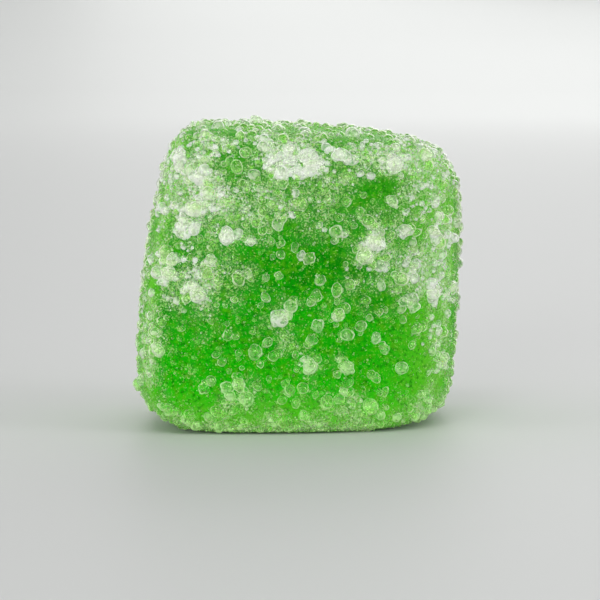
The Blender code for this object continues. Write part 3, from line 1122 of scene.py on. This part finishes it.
@dataclass(frozen=True)
class SugarFinish:
    """Sugar: clear grains with pale rims, partly painted rim light, painted white below where
    light gathers, and a painted green glow near the foot.
    """

    name: str
    # The grains' colours: inside clear and milky ones, and on their white places, which are
    # partly painted light
    clear_tint: Colour = (0.6, 0.95, 0.32, 1.0)
    misty_tint: Colour = (0.95, 0.99, 0.9, 1.0)
    rim_tint: Colour = (0.84, 0.97, 0.7, 1.0)
    milky_tint: Colour = (0.96, 0.985, 0.94, 1.0)
    # Painted light: white below, where light gathers in a grain, with clouds in it
    painted_light_way: tuple = (-0.3, -0.15, -0.85)
    painted_light_band: Band = Band(-0.7, 0.6, 0.15, 1.0)
    cloud_noise: Speckle = Speckle(0.28)
    cloud_band: Band = Band(0.38, 0.55, 0.3, 1.0)
    body_band: Band = Band(0.0, 1.0, 0.25, 1.0)
    solid_band: Band = Band(0.91, 1.0, 0.0, 0.8)
    # White rim, broken into arcs: partly the frosted skin seen edge on, partly painted rim light
    painted_light_rim: float = 0.1
    painted_rim_band: Band = Band(0.29, 0.5, 0.0, 0.9)
    arc_noise: Speckle = Speckle(0.38, 0.0)
    arc_band: Band = Band(0.4, 0.52, 0.5, 1.0)
    # White specks
    speck_noise: Speckle = Speckle(0.15)
    speck_band: Band = Band(0.64, 0.69, 0.0, 0.7)
    # Painted glow: the jelly's green shining up through the grains near the foot
    painted_foot_glow: Colour = (0.5, 0.95, 0.25, 1.0)
    painted_foot_band: Band = Band(0.0, 11.0 * MM, 1.0, 0.0)
    foot_power: float = 2.0
    foot_share: float = 0.85
    clear_band: Band = Band(0.0, 1.0, 1.0, 0.03)
    rough_band: Band = Band(0.4, 0.6, 0.05, 0.2)
    bend: float = 1.45
    gloss: float = 0.5
    gloss_tint: Colour = (0.7, 1.0, 0.5, 1.0)
    inner_glow: float = 0.8
    inner_reach: tuple = (1.0, 1.0, 1.0)
    inner_depth: float = 0.12
    relief_noise: Speckle = Speckle(0.2)
    relief_strength: float = 0.6
    relief_depth: float = 0.05

    def whiteness(self, bench: NodeBench, milk: object, grit: object) -> bpy.types.NodeSocket:
        """Work out how much of a grain is white: painted light at its rim and lower side, its
        milky body and its specks.

        Args:
            bench: The material's nodes.
            milk: How milky the grain is.
            grit: The noise of the specks.

        Returns:
            Share from 0 where it is clear to 1 where it is white.
        """
        # Painted light: whiter on the lower side, where light gathers in the grain
        painted_light_side = bench.towards(self.painted_light_way)
        cloud = bench.spread(bench.noise(self.cloud_noise), self.cloud_band)
        body = bench.times(bench.spread(painted_light_side, self.painted_light_band), cloud)
        body = bench.times(body, bench.spread(milk, self.body_band))
        body = bench.math("MAXIMUM", body, bench.spread(milk, self.solid_band))
        # Rim: partly the frosted skin seen edge on, partly painted rim light, more of it on the
        # lower side
        rim = bench.math("ADD", bench.rim(), bench.times(painted_light_side, self.painted_light_rim))
        arcs = bench.spread(bench.noise(self.arc_noise), self.arc_band)
        rim = bench.times(bench.spread(rim, self.painted_rim_band), arcs)
        cover = bench.math("MAXIMUM", rim, body)
        return bench.math("MAXIMUM", cover, bench.spread(grit, self.speck_band))

    def make(self) -> bpy.types.Material:
        """Make the sugar's material.

        Returns:
            The material.
        """
        bench = NodeBench(self.name)
        milk = bench.attribute("milk")
        grit = bench.noise(self.speck_noise)
        cover = self.whiteness(bench, milk, grit)
        inside = bench.mix(milk, self.clear_tint, self.misty_tint)
        white = bench.mix(milk, self.rim_tint, self.milky_tint)
        # Painted glow: the jelly's green shining up through the grains near the foot
        foot = bench.math("POWER", bench.spread(bench.height(), self.painted_foot_band), self.foot_power)
        foot = bench.times(foot, self.foot_share)
        bench.dress({
            "Base Color": bench.mix(foot, bench.mix(cover, inside, white), self.painted_foot_glow),
            "Transmission Weight": bench.spread(cover, self.clear_band),
            "Roughness": bench.spread(grit, self.rough_band),
            "IOR": self.bend,
            "Specular IOR Level": self.gloss,
            "Specular Tint": self.gloss_tint,
            "Subsurface Weight": self.inner_glow,
            "Subsurface Radius": self.inner_reach,
            "Subsurface Scale": self.inner_depth * MM,
        })
        bench.bump(self.relief_noise, self.relief_strength, self.relief_depth)
        return bench.material


@dataclass
class SugarCoat:
    """All the sugar on the jelly, one piece for each size of grain."""

    coarse_rule: CoarseGrainRule = field(default_factory=CoarseGrainRule)
    coarse_seed: int = 10
    coarse_lumps: tuple = (0.09, 4.6)
    front_facing: float = 0.55
    front_milk_power: int = 3
    side_milk: float = 0.35
    side_milk_gain: float = 0.5
    bead_seed: int = 21
    bead_lumps: tuple = (0.13, 4.6)
    bead_stretch: tuple = (0.85, 1.15)
    size_power: float = 1.5
    search_reach: float = 50.0
    clump_sizes: tuple = (0.36, 0.86)
    clump_lifts: tuple = (-0.3, 0.5)
    milk_scatter: float = 0.15
    most_milk: float = 0.95
    # Clumps on the front face: across, up, reach across, reach up, how many beads, how milky
    clusters: tuple = (
        (0.1, 16.7, 1.9, 0.75, 36, 0.92), (-0.3, 17.8, 0.5, 0.3, 5, 0.8),
        (6.1, 16.7, 0.4, 0.3, 4, 0.95), (8.6, 14.4, 0.2, 0.5, 4, 0.85),
        (6.9, 12.5, 0.3, 0.5, 4, 0.7), (9.5, 11.8, 0.2, 0.4, 3, 0.85),
        (9.6, 8.1, 0.15, 0.3, 2, 0.95), (6.2, 14.4, 0.35, 0.3, 3, 0.5),
        (-4.4, 19.0, 0.05, 0.05, 1, 0.7), (-2.8, 19.2, 0.3, 0.1, 3, 0.85),
        (-7.2, 16.6, 0.1, 0.1, 1, 1.0), (3.5, 18.7, 0.3, 0.15, 3, 0.9),
        (-5.5, 16.1, 0.4, 0.4, 7, 0.85), (-5.4, 15.0, 0.3, 0.3, 4, 0.8),
        (-6.5, 12.8, 0.7, 0.7, 14, 0.75), (-6.2, 14.1, 0.5, 0.4, 8, 0.7),
        (-4.0, 12.4, 0.5, 0.4, 6, 0.75), (-2.9, 12.1, 0.3, 0.3, 4, 0.6),
        (-5.2, 10.8, 0.5, 0.4, 6, 0.6), (-6.2, 9.0, 0.8, 0.45, 10, 0.7),
        (-7.6, 10.6, 0.6, 0.9, 8, 0.6), (6.2, 16.9, 1.1, 0.5, 12, 0.75),
        (8.0, 17.4, 0.5, 0.4, 5, 0.7), (5.0, 11.8, 0.6, 0.5, 9, 0.75),
        (4.2, 11.1, 0.4, 0.3, 4, 0.5), (8.4, 8.8, 0.5, 0.5, 7, 0.8),
        (7.1, 8.1, 0.5, 0.35, 5, 0.55), (8.8, 12.7, 0.5, 0.8, 9, 0.65),
        (-0.8, 7.6, 0.5, 0.4, 5, 0.5), (0.7, 4.4, 0.5, 0.4, 6, 0.65),
        (2.7, 7.4, 0.35, 0.3, 4, 0.4), (3.1, 4.3, 0.4, 0.3, 4, 0.4),
        (-3.6, 2.8, 0.9, 0.5, 7, 0.45), (8.9, 4.4, 0.4, 0.6, 6, 0.7),
        (-8.7, 5.8, 0.4, 1.0, 10, 0.7), (-7.2, 17.0, 0.3, 0.5, 5, 0.8),
        (8.0, 2.2, 0.4, 0.3, 4, 0.6), (0.3, 1.1, 0.4, 0.3, 4, 0.4),
        (4.7, 1.9, 0.6, 0.4, 5, 0.4), (6.4, 9.8, 0.3, 0.3, 3, 0.4),
        (3.2, 17.2, 0.8, 0.5, 9, 0.85), (-8.1, 10.6, 0.4, 1.2, 8, 0.8),
        (2.6, 2.5, 0.9, 0.5, 6, 0.35),
    )
    ring_lift: float = -0.1
    ring_milk: float = 0.15
    # Single clear beads in the windows of the front face: across, up, size
    rings: tuple = (
        (7.5, 6.4, 0.8), (5.5, 5.2, 0.6), (4.9, 3.5, 0.75), (7.2, 5.4, 0.5), (-4.5, 4.6, 0.55),
        (-5.2, 3.4, 0.7), (-1.7, 5.8, 0.75), (1.0, 5.9, 0.7), (-0.4, 2.8, 0.7), (1.0, 8.3, 0.6),
        (-1.8, 9.8, 0.5), (-1.0, 9.9, 0.6), (-1.8, 8.6, 0.65), (4.6, 7.2, 0.55), (2.7, 4.7, 0.5),
    )
    dot_sizes: tuple = (0.2, 0.42)
    dot_lifts: tuple = (-0.2, 0.3)
    dot_milk: tuple = (0.88, 1.0)
    # Fields of small white beads: across, up, reach across, reach up, how many
    dots: tuple = (
        (-4.2, 18.0, 2.6, 0.9, 26), (4.2, 18.0, 3.8, 0.6, 30), (8.4, 15.6, 1.1, 1.8, 12),
        (7.6, 13.4, 1.3, 1.6, 18), (9.0, 9.4, 0.7, 2.4, 7), (-7.6, 16.4, 0.9, 1.8, 14),
        (-7.2, 12.0, 1.3, 2.6, 14), (8.6, 5.0, 0.8, 2.2, 10), (0.1, 16.8, 2.1, 0.95, 90),
    )

    def kinds(self) -> list[ScatterKind]:
        """List the scattered sizes.

        Returns:
            The sizes, the largest first.
        """
        return [
            ScatterKind(
                Grains("bead_sugar", Blank.BALL_80, Facing.SOFT, lumps=0.1, lump_waves=3.8),
                count=1750, seed=11, small=0.38, large=0.78, size_power=1.8, thin_weight=0.13,
                power=1.1, fade=0.1, seat=-0.3, uneven=0.18, milk_low=0.05, milk_high=0.7,
                milk_scatter=0.2, most_milk=0.9,
            ),
            ScatterKind(
                Grains("medium_sugar", Blank.BALL_20, Facing.SOFT),
                count=7800, seed=12, small=0.18, large=0.42, size_power=1.8, thin_weight=0.11,
                power=1.2, fade=0.7, seat=-0.3, uneven=0.25, milk_low=0.1, milk_high=0.6,
                milk_scatter=0.2, most_milk=0.95,
            ),
            ScatterKind(
                Grains("powder_sugar", Blank.DIAMOND, Facing.CUT),
                count=19000, seed=13, small=0.09, large=0.19, size_power=1.2, thin_weight=0.08,
                power=1.3, fade=0.85, seat=0.0, uneven=0.4, milk_low=0.1, milk_high=0.6,
                milk_scatter=0.25,
            ),
        ]

    def coarse_mesh(self, form: BlockForm) -> bpy.types.Mesh:
        """Make the largest grains at the places of the solid's own.

        Args:
            form: The block's form.

        Returns:
            One mesh with the largest grains.
        """
        block = form.mesh("seat_block", form.solid_levels)
        self.coarse_rule.prepare(block, form.half_depth)
        placed = self.coarse_rule.scatter()
        bpy.data.meshes.remove(block)
        rng = np.random.default_rng(self.coarse_seed)
        middles = np.array([middle[:] for middle, _, _ in placed])
        radii = np.array([size / 2.0 for _, size, _ in placed])
        frames = np.array([[row[:] for row in turned] for _, _, turned in placed])
        chance = rng.random(len(placed))
        facing = np.array(
            [-self.coarse_rule.tree.find_nearest(middle)[1].y for middle, _, _ in placed]
        )
        milk = np.where(
            facing > self.front_facing,
            chance ** self.front_milk_power,
            self.side_milk + self.side_milk_gain * chance,
        )
        named = [milk_share for *_, milk_share in self.coarse_rule.front]
        milk[: len(named)] = named
        return Grains("coarse_sugar", Blank.BALL_320, Facing.SOFT, *self.coarse_lumps).mesh(
            rng, middles, radii, frames, milk
        )

    def bead(
        self, rng: np.random.Generator, patch: list[float], sizes: tuple, lifts: tuple
    ) -> tuple[float, float, float, float]:
        """Draw one bead in an oval patch of the front face.

        Args:
            rng: The seeded draw.
            patch: The patch: across, up, reach across and reach up.
            sizes: Smallest and largest size in millimetres.
            lifts: Least and most lift out of the jelly, as shares of the bead's radius.

        Returns:
            The bead: across, up, size and lift.
        """
        across, up, reach_x, reach_z = patch
        turn = rng.random() * math.tau
        far = math.sqrt(rng.random())
        x = across + math.cos(turn) * far * reach_x
        z = up + math.sin(turn) * far * reach_z
        return x, z, blend(*sizes, rng.random() ** self.size_power), rng.uniform(*lifts)

    def front_beads(self, rng: np.random.Generator) -> list[tuple]:
        """List the single clear beads, the clumps and the small white beads of the front face.

        Args:
            rng: The seeded draw.

        Returns:
            Each bead: across, up, size, lift and how milky.
        """
        beads = [(*ring, self.ring_lift, self.ring_milk) for ring in self.rings]
        for *patch, count, share in self.clusters:
            for _ in range(count):
                bead = self.bead(rng, patch, self.clump_sizes, self.clump_lifts)
                milk = share + rng.normal() * self.milk_scatter
                beads.append((*bead, min(self.most_milk, max(0.0, milk))))
        for *patch, count in self.dots:
            for _ in range(count):
                bead = self.bead(rng, patch, self.dot_sizes, self.dot_lifts)
                beads.append((*bead, rng.uniform(*self.dot_milk)))
        return beads

    def cluster_mesh(self, tree: BVHTree) -> bpy.types.Mesh:
        """Seat the beads of the front face on the jelly.

        Args:
            tree: The jelly's surface.

        Returns:
            One mesh with all of them.
        """
        rng = np.random.default_rng(self.bead_seed)
        middles, radii, milk = [], [], []
        for x, z, size, lift, share in self.front_beads(rng):
            point, normal = front_spot(tree, x, z, self.search_reach)
            radii.append(size * MM / 2.0)
            middles.append((point + normal * (lift * radii[-1]))[:])
            milk.append(share)
        stretch = rng.uniform(*self.bead_stretch, (len(radii), 3))
        frames = random_turns(rng, len(radii)) * stretch[:, None, :]
        return Grains("cluster_sugar", Blank.BALL_320, Facing.SOFT, *self.bead_lumps).mesh(
            rng, np.array(middles), np.array(radii), frames, np.array(milk)
        )


class Gummy:
    """The whole sweet: jelly and sugar."""

    def __init__(self) -> None:
        """Take the block's form, the frost and the sugar."""
        self.form = BlockForm()
        self.frost = FrostMap()
        self.coat = SugarCoat()

    def place(self, mesh: bpy.types.Mesh, material: bpy.types.Material) -> bpy.types.Object:
        """Put a finished mesh in the scene, riding on the part's body.

        Args:
            mesh: The piece's mesh, in the frame's own place.
            material: The piece's finish.

        Returns:
            The piece.
        """
        piece = bpy.data.objects.new(mesh.name, mesh)
        bpy.context.scene.collection.objects.link(piece)
        mesh.materials.append(material)
        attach(piece, BODY)
        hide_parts(NODE)
        log.info("%s: %d faces", piece.name, len(mesh.polygons))
        return piece

    def build(self) -> None:
        """Make the jelly and every kind of sugar."""
        jelly = self.form.mesh("jelly_block", self.form.jelly_levels)
        jelly.shade_smooth()
        surface = Surface(jelly, self.frost)
        # The glow share on the mesh sets where the jelly's colour gets its painted glow
        for name, values in (("frost", surface.frost), ("glow", surface.glow)):
            layer = jelly.attributes.new(name, "FLOAT", "POINT")
            layer.data.foreach_set("value", values.astype(np.float32))
        self.place(jelly, JellyFinish().make())

        glassy = SugarFinish("glassy_sugar").make()
        grainy = SugarFinish(
            "grainy_sugar", clear_tint=(0.45, 0.92, 0.18, 1.0), rim_tint=(0.52, 0.92, 0.3, 1.0),
            milky_tint=(0.95, 0.99, 0.91, 1.0), body_band=Band(0.0, 1.0, 0.3, 1.0),
            painted_rim_band=Band(0.25, 0.5, 0.0, 0.7), speck_band=Band(0.64, 0.69, 0.0, 0.4),
            rough_band=Band(0.4, 0.6, 0.1, 0.3),
        ).make()
        frosty = SugarFinish(
            "frosty_sugar", clear_tint=(0.38, 0.86, 0.18, 1.0), rim_tint=(0.52, 0.9, 0.32, 1.0),
            misty_tint=(0.8, 0.98, 0.7, 1.0), milky_tint=(0.86, 0.98, 0.78, 1.0),
            painted_light_band=Band(-1.4, 0.6, 0.15, 1.0), body_band=Band(0.0, 1.0, 0.6, 1.0),
            rough_band=Band(0.4, 0.6, 0.2, 0.5), inner_glow=0.0,
        ).make()
        coarse = self.place(self.coat.coarse_mesh(self.form), glassy)
        coarse.visible_shadow = False
        clusters = self.place(self.coat.cluster_mesh(surface.tree()), glassy)
        clusters.visible_shadow = False
        finishes = {Blank.DIAMOND: frosty, Blank.BALL_20: grainy, Blank.BALL_80: glassy}
        for kind in self.coat.kinds():
            piece = self.place(kind.build(surface), finishes[kind.grains.blank])
            piece.visible_shadow = kind.grains.blank is Blank.DIAMOND


@dataclass(frozen=True)
class SoftLight:
    """One soft square light: angles in degrees, distance and size in metres, power in watts."""

    name: str
    azimuth: float
    elevation: float
    distance: float
    size: float
    power: float
    aim_height: float = 9.0

    def hang(self) -> None:
        """Hang the light so that it looks at the middle of the block."""
        lamp = bpy.data.lights.new(self.name, "AREA")
        lamp.shape = "SQUARE"
        lamp.size = self.size
        lamp.energy = self.power
        way = way_out(self.azimuth, self.elevation)
        item = bpy.data.objects.new(self.name, lamp)
        item.location = Vector((0.0, 0.0, self.aim_height * MM)) + way * self.distance
        item.rotation_euler = way.to_track_quat("Z", "Y").to_euler()
        bpy.context.scene.collection.objects.link(item)


@dataclass
class Studio:
    """Plain pale floor that curves up all round, soft lights and the camera."""

    floor_reach: float = 0.7
    wall_reach: float = 1.0
    wall_height: float = 0.35
    curve_steps: int = 8
    round_steps: int = 96
    merge_reach: float = 1e-6
    floor_tone: Colour = (0.62, 0.63, 0.62, 1.0)
    floor_rough: float = 0.6
    sky_tone: Colour = (1.0, 1.0, 1.0, 1.0)
    sky_strength: float = 0.66
    lights: tuple = (
        SoftLight("top_light", -20.0, 60.0, 0.8, 0.2, 0.42),
        SoftLight("front_light", -15.0, 10.0, 0.9, 0.3, 2.5),
        SoftLight("left_light", -70.0, 12.0, 0.8, 0.25, 0.9),
        SoftLight("right_light", 70.0, 12.0, 0.8, 0.25, 1.5),
        SoftLight("back_light", 170.0, 20.0, 0.8, 0.5, 1.2),
    )
    view_distance: float = 200.0
    view_width: float = 38.7
    view_elevation: float = 5.0
    view_azimuth: float = 2.0
    aim_height: float = 7.64
    sensor: float = 36.0
    nearest: float = 0.01
    farthest: float = 10.0

    def build_floor(self) -> None:
        """Make the floor: a profile turned round into a wide shallow bowl."""
        form = bmesh.new()
        profile = [form.verts.new((0.0, 0.0, 0.0)), form.verts.new((self.floor_reach, 0.0, 0.0))]
        curve = self.wall_reach - self.floor_reach
        for step in range(1, self.curve_steps + 1):
            turn = math.pi / 2.0 * step / self.curve_steps
            across = self.floor_reach + curve * math.sin(turn)
            profile.append(form.verts.new((across, 0.0, curve * (1.0 - math.cos(turn)))))
        profile.append(form.verts.new((self.wall_reach, 0.0, self.wall_height)))
        edges = [form.edges.new(pair) for pair in zip(profile[:-1], profile[1:])]
        bmesh.ops.spin(
            form, geom=profile + edges, cent=(0, 0, 0), axis=(0, 0, 1),
            angle=math.tau, steps=self.round_steps, use_merge=True,
        )
        bmesh.ops.remove_doubles(form, verts=form.verts[:], dist=self.merge_reach)
        bmesh.ops.recalc_face_normals(form, faces=form.faces[:])
        mesh = bpy.data.meshes.new("studio_floor")
        form.to_mesh(mesh)
        form.free()
        mesh.shade_smooth()
        floor = bpy.data.objects.new("studio_floor", mesh)
        bpy.context.scene.collection.objects.link(floor)
        bench = NodeBench("pale_floor")
        bench.dress({"Base Color": self.floor_tone, "Roughness": self.floor_rough})
        mesh.materials.append(bench.material)

    def build_lights(self) -> None:
        """Hang the soft lights and tone the surroundings."""
        for light in self.lights:
            light.hang()
        world = bpy.data.worlds.new("pale_surroundings")
        world.use_nodes = True
        background = world.node_tree.nodes["Background"]
        background.inputs["Color"].default_value = self.sky_tone
        background.inputs["Strength"].default_value = self.sky_strength
        bpy.context.scene.world = world
        bpy.context.scene.view_settings.view_transform = "Standard"

    def build_camera(self) -> None:
        """Set the camera at the photograph's own height and lens."""
        data = bpy.data.cameras.new("camera")
        data.sensor_width = self.sensor
        data.lens = self.sensor * self.view_distance / self.view_width
        data.clip_start = self.nearest
        data.clip_end = self.farthest
        camera = bpy.data.objects.new("camera", data)
        forward = -way_out(self.view_azimuth, self.view_elevation)
        aim = Vector((0.0, 0.0, self.aim_height * MM))
        camera.location = aim - forward * self.view_distance * MM
        camera.rotation_euler = forward.to_track_quat("-Z", "Y").to_euler()
        bpy.context.scene.collection.objects.link(camera)
        bpy.context.scene.camera = camera

    def build(self) -> None:
        """Make the floor, the lights and the camera."""
        self.build_floor()
        self.build_lights()
        self.build_camera()


def main() -> None:
    """Build the gummy and its studio."""
    logging.basicConfig(level=logging.INFO, format="%(message)s")
    Gummy().build()
    Studio().build()


if __name__ == "__main__":
    main()
